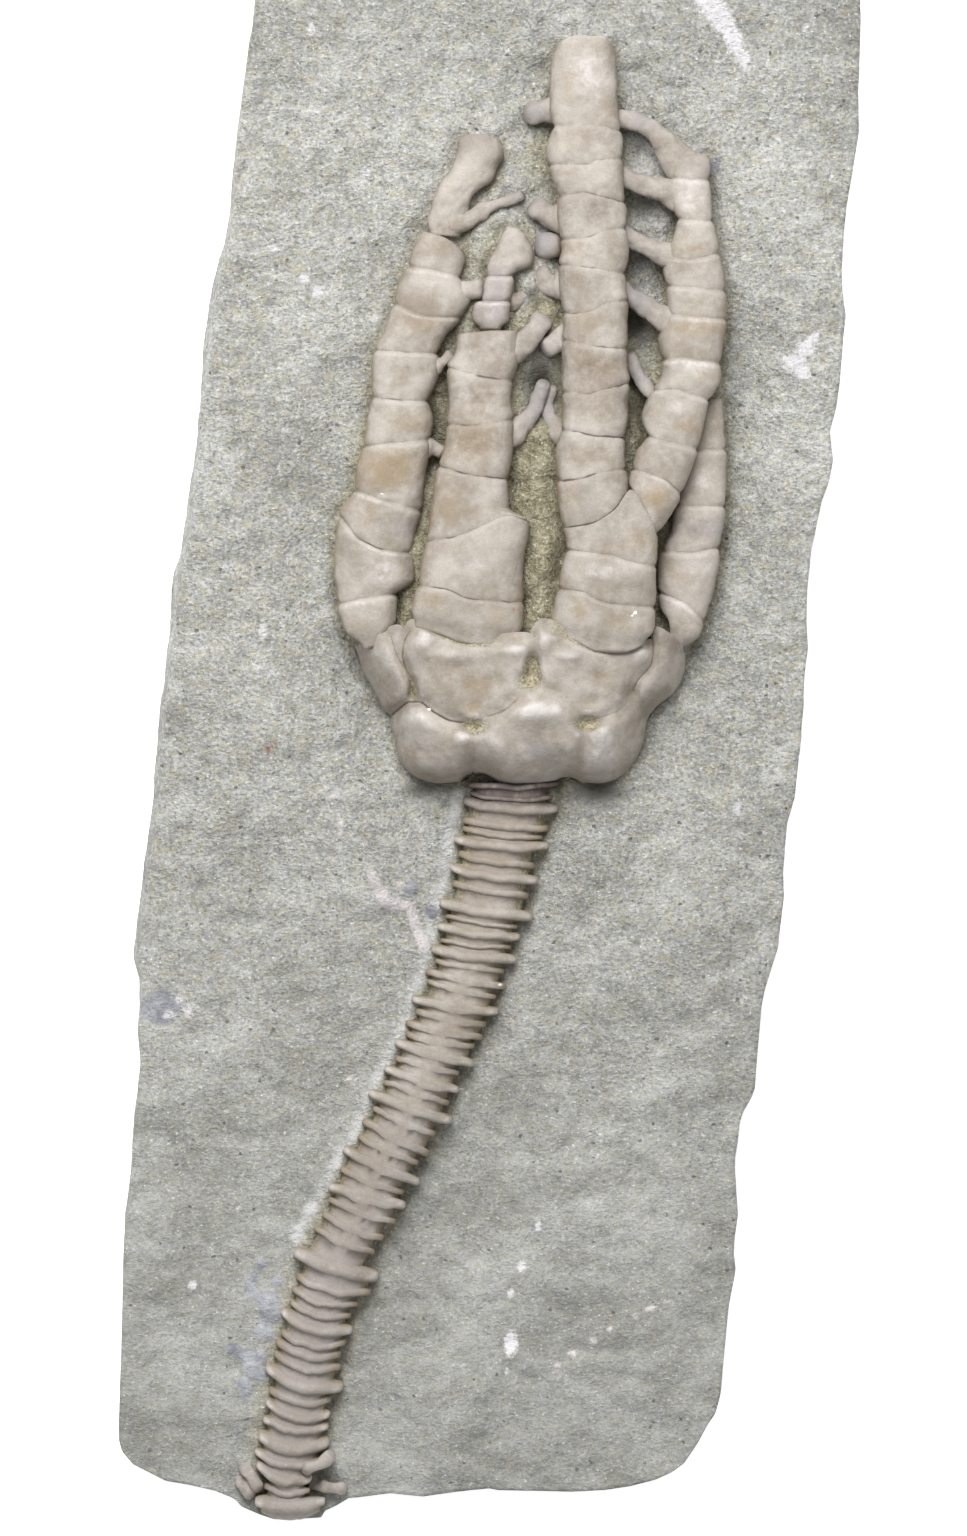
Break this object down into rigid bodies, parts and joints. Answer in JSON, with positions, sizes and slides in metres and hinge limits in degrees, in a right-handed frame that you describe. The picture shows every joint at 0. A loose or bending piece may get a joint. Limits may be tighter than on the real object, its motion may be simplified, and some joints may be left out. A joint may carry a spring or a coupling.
{
  "type": "crinoid fossil plate",
  "caption": "Fossil sea lily on its siltstone slab: a cup of thick plates, stacked-ossicle arms with side branches and a ringed stem, all standing in relief",
  "frame": {"origin": "centre of the bounding box in X and Y, at the flat underside of the slab", "axes": "+Z out of the face that carries the fossil, +Y from the foot of the stem towards the arm tips, +X to the right as seen from above with the arms at the top"},
  "size_m": [0.0894, 0.1836, 0.0297],
  "materials": {
    "siltstone": "matt, fine-grained grey-green siltstone with dark and pale grains",
    "calcite": "smooth, faintly waxy beige to pink-grey calcite with tan patches"
  },
  "bodies": {
    "root": {"matrix": "siltstone", "stem": "calcite", "basal_left": "calcite", "basal_centre": "calcite", "basal_right": "calcite", "radial_far_left": "calcite", "radial_left": "calcite", "radial_right": "calcite", "radial_far_right": "calcite", "arm_right_trunk": "calcite", "arm_right_left_fork": "calcite", "arm_right_right_fork": "calcite", "arm_left": "calcite", "arm_left_tip": "calcite", "arm_far_left": "calcite", "arm_far_left_tip": "calcite", "arm_far_right": "calcite", "stem_chip_left_upper": "calcite", "stem_chip_left_lower": "calcite", "stem_chip_right_upper": "calcite", "stem_chip_right_lower": "calcite"}
  },
  "joints": []
}
